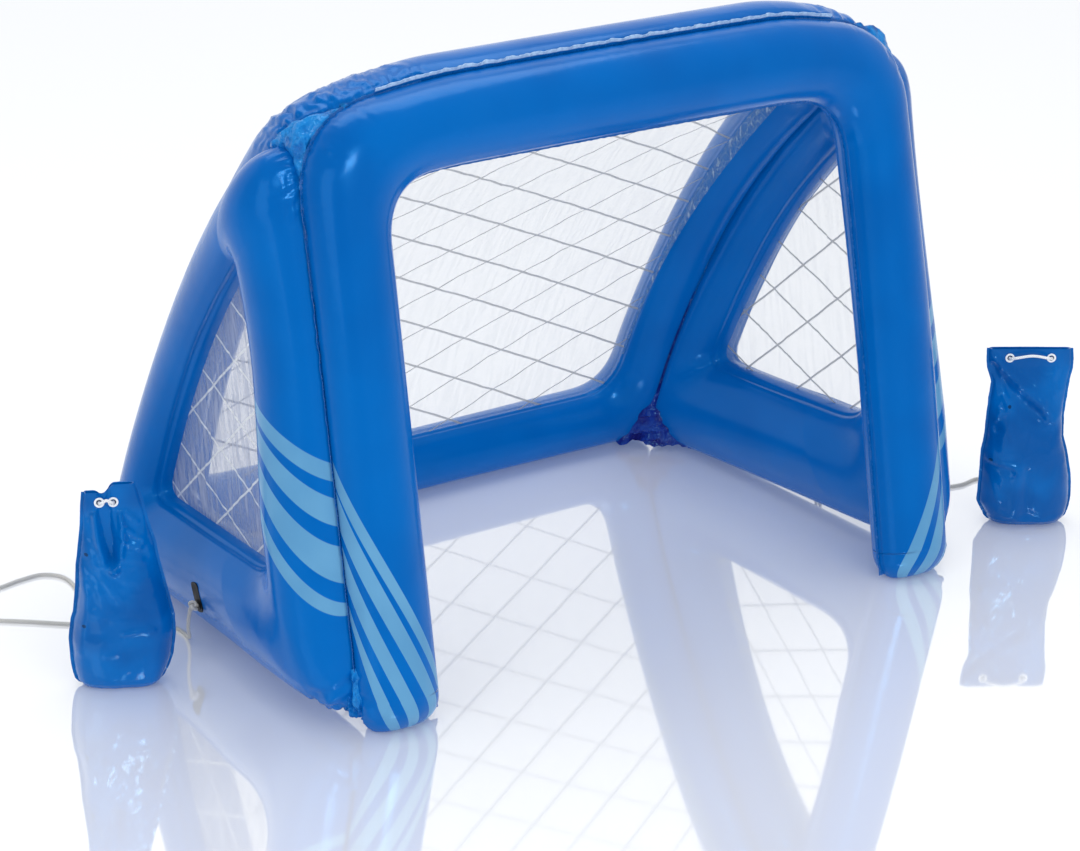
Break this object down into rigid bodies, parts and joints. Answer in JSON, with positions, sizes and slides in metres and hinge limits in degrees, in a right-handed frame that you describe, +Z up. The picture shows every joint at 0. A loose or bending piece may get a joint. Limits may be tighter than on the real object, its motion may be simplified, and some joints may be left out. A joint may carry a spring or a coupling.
{
  "type": "inflatable goal",
  "caption": "Floating or lawn goal of welded inflated frames round clear net-printed windows, with push-in valves and corded anchor bags.",
  "frame": {"origin": "on the floor, at the middle of the goal's own length and width without its cords and bags", "axes": "+X to the viewer's right when facing the mouth, along the top bar; +Y from the mouth towards the back; +Z up"},
  "size_m": [1.9352, 0.8996, 1.0103],
  "materials": {
    "blue_vinyl": "glossy",
    "clear_film": "clear",
    "clear_vinyl": "satin",
    "black_rubber": "matte",
    "white_plastic": "satin",
    "grey_cord": "braided"
  },
  "bodies": {
    "goal": {"back_frame": "blue_vinyl", "back_valve_flange": "blue_vinyl", "back_window": "clear_film", "front_frame": "blue_vinyl", "front_left_weld": "blue_vinyl", "front_right_weld": "blue_vinyl", "front_valve_flange": "blue_vinyl", "left_anchor_bag": "blue_vinyl", "left_back_grommet_1": "white_plastic", "left_back_grommet_2": "white_plastic", "left_drawstring": "grey_cord", "left_front_grommet_1": "white_plastic", "left_front_grommet_2": "white_plastic", "left_side_frame": "blue_vinyl", "left_tether": "grey_cord", "left_tether_eyelet": "black_rubber", "left_tether_tab": "black_rubber", "left_valve_flange": "blue_vinyl", "left_window": "clear_film", "rear_left_gusset": "blue_vinyl", "rear_left_weld": "blue_vinyl", "rear_right_gusset": "blue_vinyl", "rear_right_weld": "blue_vinyl", "right_anchor_bag": "blue_vinyl", "right_back_grommet_1": "white_plastic", "right_back_grommet_2": "white_plastic", "right_drawstring": "grey_cord", "right_front_grommet_1": "white_plastic", "right_front_grommet_2": "white_plastic", "right_side_frame": "blue_vinyl", "right_tether": "grey_cord", "right_tether_eyelet": "black_rubber", "right_tether_tab": "black_rubber", "right_valve_flange": "blue_vinyl", "right_window": "clear_film", "top_left_gusset": "blue_vinyl", "top_right_gusset": "blue_vinyl", "top_weld": "blue_vinyl"},
    "front_valve_stem": {"front_valve_stem": "clear_vinyl"},
    "front_valve_cap": {"front_valve_cap": "clear_vinyl"},
    "left_valve_stem": {"left_valve_stem": "clear_vinyl"},
    "left_valve_cap": {"left_valve_cap": "clear_vinyl"},
    "right_valve_stem": {"right_valve_stem": "clear_vinyl"},
    "right_valve_cap": {"right_valve_cap": "clear_vinyl"},
    "back_valve_stem": {"back_valve_stem": "clear_vinyl"},
    "back_valve_cap": {"back_valve_cap": "clear_vinyl"}
  },
  "joints": [
    {"name": "front_valve_slide", "type": "slide", "parent": "goal", "child": "front_valve_stem", "axis": [0.655, 0.739, -0.1573], "range_m": [0, 0.012]},
    {"name": "front_cap_hinge", "type": "hinge", "parent": "front_valve_stem", "child": "front_valve_cap", "pos_m": [-0.50159, -0.29008, 0.29172], "axis": [0.1454, 0.0811, 0.9861], "range_deg": [0, 150]},
    {"name": "left_valve_slide", "type": "slide", "parent": "goal", "child": "left_valve_stem", "axis": [0.9916, -0.1069, 0.073], "range_m": [0, 0.012]},
    {"name": "left_cap_hinge", "type": "hinge", "parent": "left_valve_stem", "child": "left_valve_cap", "pos_m": [-0.5228, 0.18764, 0.10789], "axis": [-0.0699, -0.9166, -0.3937], "range_deg": [0, 150]},
    {"name": "right_valve_slide", "type": "slide", "parent": "goal", "child": "right_valve_stem", "axis": [0.9934, -0.0014, -0.1147], "range_m": [0, 0.012]},
    {"name": "right_cap_hinge", "type": "hinge", "parent": "right_valve_stem", "child": "right_valve_cap", "pos_m": [0.67176, 0.17436, 0.10669], "axis": [-0.0379, -0.9476, -0.3172], "range_deg": [0, 150]},
    {"name": "back_valve_slide", "type": "slide", "parent": "goal", "child": "back_valve_stem", "axis": [-0.02, 0.9753, 0.2199], "range_m": [0, 0.012]},
    {"name": "back_cap_hinge", "type": "hinge", "parent": "back_valve_stem", "child": "back_valve_cap", "pos_m": [0.28101, 0.4446, 0.07857], "axis": [0.8995, -0.0785, 0.4298], "range_deg": [0, 150]}
  ]
}
